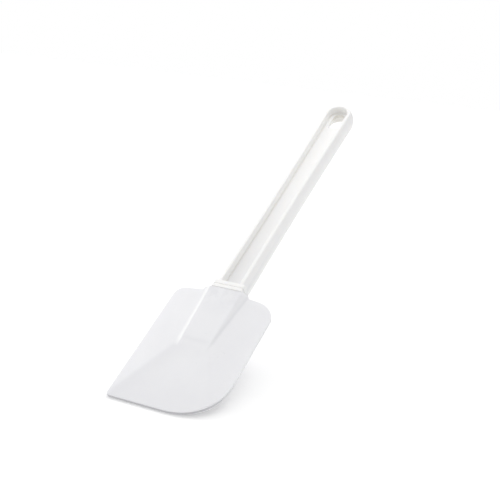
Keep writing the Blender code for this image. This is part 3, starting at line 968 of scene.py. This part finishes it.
def rubber_material():
    """Cool white rubber: satin, faintly mottled, with a fine skin and soft shallow dents."""
    nodes = Nodes("blade_rubber_look")
    shader = nodes.add("ShaderNodeBsdfPrincipled")
    x, y, z = nodes.split_place()
    across = nodes.maths("ABSOLUTE", x)
    clouds = nodes.noise(scale=55, detail=5, roughness=0.6)
    tone = nodes.mix(nodes.spread(clouds, 0.3, 0.72), RUBBER_LIGHT, RUBBER_DARK)
    # Painted shade, darker towards the working edge
    tone = nodes.mix(nodes.fade(y, 0, LIP_SHADE_END_Y, LIP_SHADE), tone, RUBBER_SMUDGE_AND_SHADE)
    tone = nodes.mix(smudges(nodes, across, y), tone, RUBBER_SMUDGE_AND_SHADE)
    # Painted shade at the foot of the right side wall, below the hips and below the crease
    tone = nodes.mix(foot_painted_shade(nodes, x, y), tone, RUBBER_SMUDGE_AND_SHADE)
    crease_shade = nodes.maths("MAXIMUM", hip_painted_shade(nodes, x, across, y), bend_painted_shade(nodes, across, y))
    tone = nodes.mix(crease_shade, tone, RUBBER_SMUDGE_AND_SHADE)
    # Painted highlight along the wedge's left edge
    tone = nodes.mix(painted_edge_highlight(nodes, x, y), tone, RUBBER_HIGHLIGHT)
    # Painted shade and shadow on the working edge's thin face
    tone = nodes.mix(edge_painted_shade(nodes, y, z), tone, RUBBER_EDGE_SHADE)
    tone = nodes.mix(scattered_specks(nodes), tone, RUBBER_SPECK)
    nodes.link(tone, shader.inputs["Base Color"])
    wear = nodes.noise(scale=210, detail=4, roughness=0.6)
    nodes.link(nodes.spread(wear, 0.3, 0.7, start=0.38, end=0.56), shader.inputs["Roughness"])
    skin = nodes.noise(scale=1900, detail=3, roughness=0.6)
    dents = nodes.noise(scale=95, detail=3)
    normal = nodes.bump(skin, strength=0.15, distance=0.03 * MM)
    normal = nodes.bump(dents, strength=0.30, distance=0.25 * MM, below=normal)
    nodes.link(normal, shader.inputs["Normal"])
    shader.inputs["IOR"].default_value = 1.45
    shader.inputs["Subsurface Weight"].default_value = 0.25
    shader.inputs["Subsurface Radius"].default_value = (0.95, 0.95, 1.0)
    shader.inputs["Subsurface Scale"].default_value = 2.5 * MM
    return nodes.finish(shader.outputs["BSDF"])


def keep_rest_places(item):
    """Stores where each point is at rest, so that the tones bend with the rubber."""
    places = item.data.attributes.new("rest_place", "FLOAT_VECTOR", "POINT")
    places.data.foreach_set("vector", [value for vertex in item.data.vertices for value in vertex.co])


def give_material(item, material):
    item.data.materials.clear()
    item.data.materials.append(material)


# ---------------------------------------------------------------- studio

def look_from(item, place, forward, roll):
    """Stands an item at a place, facing along a direction, with its right side turned up by roll."""
    level = forward.to_track_quat("-Z", "Y").to_matrix().to_4x4()
    turn = Matrix.Rotation(math.radians(roll), 4, "Z")
    item.matrix_world = Matrix.Translation(place) @ level @ turn


def direction_from(azimuth, elevation):
    """The way a viewer looks: azimuth 0 along +Y, 90 along -X; elevation is how far down, in degrees."""
    a = math.radians(azimuth)
    e = math.radians(elevation)
    return Vector((-math.sin(a) * math.cos(e), math.cos(a) * math.cos(e), -math.sin(e)))


def make_camera():
    """A camera at the photo's viewing angle."""
    data = bpy.data.cameras.new("camera")
    data.lens = CAMERA_LENS
    data.clip_start = CAMERA_NEAR
    data.clip_end = CAMERA_FAR
    camera = bpy.data.objects.new("camera", data)
    bpy.context.scene.collection.objects.link(camera)
    look_from(camera, Vector(CAMERA_PLACE), direction_from(CAMERA_AZIMUTH, CAMERA_ELEVATION), CAMERA_ROLL)
    bpy.context.scene.camera = camera


def table_normal():
    """The way the table's surface faces."""
    return Vector((0, math.sin(math.radians(TABLE_TILT)), math.cos(math.radians(TABLE_TILT))))


def make_table():
    """A plain white table that the working edge touches, while the handle rises clear of it."""
    normal = table_normal()
    mesh = bpy.data.meshes.new("floor")
    size = TABLE_HALF_SIZE
    corners = [(-size, -size, 0), (size, -size, 0), (size, size, 0), (-size, size, 0)]
    mesh.from_pydata(corners, [], [(0, 1, 2, 3)])
    floor = bpy.data.objects.new("floor", mesh)
    bpy.context.scene.collection.objects.link(floor)
    touch = Vector((0, 0, -EDGE_HALF_THICKNESS)) - normal * TABLE_GAP
    floor.matrix_world = Matrix.Translation(touch) @ normal.to_track_quat("Z", "Y").to_matrix().to_4x4()
    nodes = Nodes("floor_look")
    diffuse = nodes.add("ShaderNodeBsdfDiffuse")
    diffuse.inputs["Color"].default_value = (*TABLE_COLOUR, 1.0)
    glow = nodes.add("ShaderNodeEmission")
    glow.inputs["Strength"].default_value = TABLE_GLOW
    lit = nodes.add("ShaderNodeAddShader")
    nodes.link(diffuse.outputs["BSDF"], lit.inputs[0])
    nodes.link(glow.outputs["Emission"], lit.inputs[1])
    clear = nodes.add("ShaderNodeBsdfTransparent")
    geometry = nodes.add("ShaderNodeNewGeometry")
    mix = nodes.add("ShaderNodeMixShader")
    nodes.link(geometry.outputs["Backfacing"], mix.inputs["Fac"])
    nodes.link(lit.outputs["Shader"], mix.inputs[1])
    nodes.link(clear.outputs["BSDF"], mix.inputs[2])
    give_material(floor, nodes.finish(mix.outputs["Shader"]))


def make_light(name, azimuth, height, power):
    """A soft round light that shines on the scraper from a distance."""
    data = bpy.data.lights.new(name, "AREA")
    data.shape = "DISK"
    data.size = LIGHT_SIZE
    data.energy = power
    light = bpy.data.objects.new(name, data)
    bpy.context.scene.collection.objects.link(light)
    up = table_normal()
    across = Vector((1, 0, 0))
    along = up.cross(across)
    a = math.radians(azimuth)
    h = math.radians(height)
    level = along * math.cos(a) - across * math.sin(a)
    towards = level * math.cos(h) + up * math.sin(h)
    look_from(light, Vector(LIGHT_TARGET) + towards * LIGHT_DISTANCE, -towards, 0)


def make_world():
    """A white studio: pure white to the camera, and as a light brighter from one side."""
    world = bpy.data.worlds.new("studio")
    bpy.context.scene.world = world
    world.use_nodes = True
    tree = world.node_tree
    tree.nodes.clear()
    coordinates = tree.nodes.new("ShaderNodeTexCoord")
    across = tree.nodes.new("ShaderNodeVectorMath")
    across.operation = "DOT_PRODUCT"
    across.inputs[1].default_value = Vector(LIGHT_SIDE).normalized()
    tree.links.new(coordinates.outputs["Generated"], across.inputs[0])
    spread = tree.nodes.new("ShaderNodeMapRange")
    spread.inputs["From Min"].default_value = -1
    spread.inputs["From Max"].default_value = 1
    spread.inputs["To Min"].default_value = WORLD_DARK
    spread.inputs["To Max"].default_value = WORLD_BRIGHT
    tree.links.new(across.outputs["Value"], spread.inputs["Value"])
    light = tree.nodes.new("ShaderNodeBackground")
    light.inputs["Color"].default_value = (1, 1, 1, 1)
    tree.links.new(spread.outputs["Result"], light.inputs["Strength"])
    white = tree.nodes.new("ShaderNodeBackground")
    white.inputs["Color"].default_value = (1, 1, 1, 1)
    path = tree.nodes.new("ShaderNodeLightPath")
    mix = tree.nodes.new("ShaderNodeMixShader")
    output = tree.nodes.new("ShaderNodeOutputWorld")
    tree.links.new(path.outputs["Is Camera Ray"], mix.inputs["Fac"])
    tree.links.new(light.outputs["Background"], mix.inputs[1])
    tree.links.new(white.outputs["Background"], mix.inputs[2])
    tree.links.new(mix.outputs["Shader"], output.inputs["Surface"])


def main():
    """Builds the two mouldings, gives them their looks and the handle its body, and sets up the studio."""
    handle = make_handle()
    keep_rest_places(handle)
    give_material(handle, plastic_material())
    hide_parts("handle")
    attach(handle, "handle_and_socket")

    blade = make_blade()
    keep_rest_places(blade)
    give_material(blade, rubber_material())
    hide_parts("blade_body", "blade_lip")
    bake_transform(blade)

    bpy.context.scene.view_settings.view_transform = "Standard"
    make_world()
    make_table()
    for name, (azimuth, height, power) in LIGHTS.items():
        make_light(name, azimuth, height, power)
    make_camera()


main()
